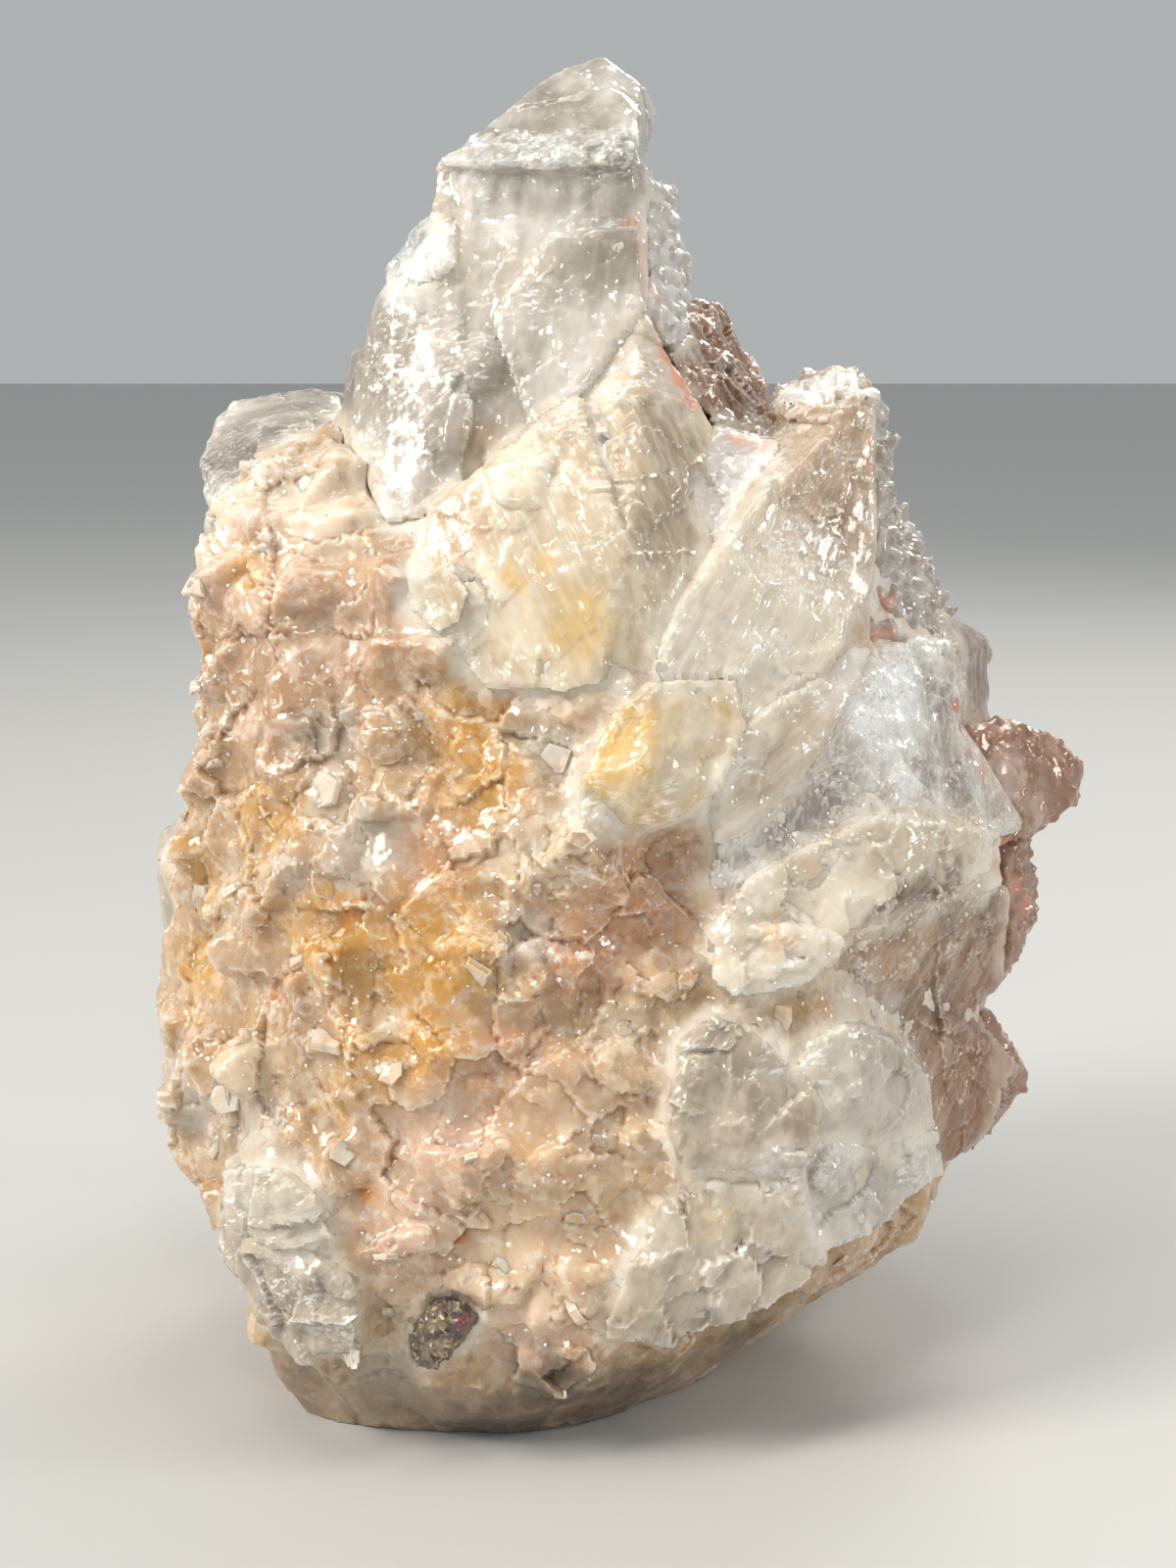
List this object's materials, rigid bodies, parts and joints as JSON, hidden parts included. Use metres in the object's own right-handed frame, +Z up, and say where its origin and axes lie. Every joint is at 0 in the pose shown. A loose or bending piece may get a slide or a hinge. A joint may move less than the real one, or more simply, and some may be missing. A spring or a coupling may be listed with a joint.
{
  "type": "apophyllite and stilbite mineral specimen",
  "caption": "Upright mineral specimen of granular peach matrix, cleaved translucent crystals, a tall crown crystal and pink stilbite crusts; it rests on its flattened lower end.",
  "frame": {"origin": "on the flat resting face, under the middle of the specimen", "axes": "+Z up along the tall direction, the broken display face towards -Y, +X to the viewer's right"},
  "size_m": [0.1071, 0.0861, 0.144],
  "materials": {
    "matrix_grain": "sugary, sparkling broken grain, peach with ochre and mauve stains",
    "smoky_crystal": "translucent grey-beige, glassy with fine striations",
    "clear_crystal": "clear to slightly cloudy, glassy",
    "cream_crystal": "translucent cream, pearly cleavage",
    "milky_crystal": "milky white, waxy to glassy",
    "tan_crystal": "translucent tan, fibrous pearly cleavage",
    "golden_crystal": "translucent golden yellow, sparkling",
    "bright_cleavage": "silvery mirror-bright pearly cleavage",
    "druse": "crust of tiny sparkling crystals",
    "pink_stilbite": "salmon-pink crust of tiny crystals, pearly",
    "brown_stilbite": "brown translucent sheaf, pearly",
    "ore": "dark metallic ore with tan specks"
  },
  "bodies": {
    "root": {"matrix": "matrix_grain", "ore_grain": "ore", "crown_crystal": "smoky_crystal", "side_chip": "clear_crystal", "shoulder_crystal": "clear_crystal", "rear_left_crystal": "smoky_crystal", "centre_crystal": "cream_crystal", "long_crystal": "cream_crystal", "ridge_crystal": "cream_crystal", "notch_wedge": "milky_crystal", "tongue_crystal": "milky_crystal", "round_crystal": "milky_crystal", "lower_crystal": "milky_crystal", "foot_crystal": "milky_crystal", "step_crystal": "milky_crystal", "milky_knob": "milky_crystal", "blade_crystal": "tan_crystal", "amber_crystal": "golden_crystal", "mirror_crystal": "bright_cleavage", "fan_crystal": "smoky_crystal", "blade_druse": "druse", "crown_druse": "druse", "brown_stilbite": "brown_stilbite", "side_column": "brown_stilbite", "pink_point": "pink_stilbite", "middle_rim": "pink_stilbite", "corner_rim": "pink_stilbite"}
  },
  "joints": []
}
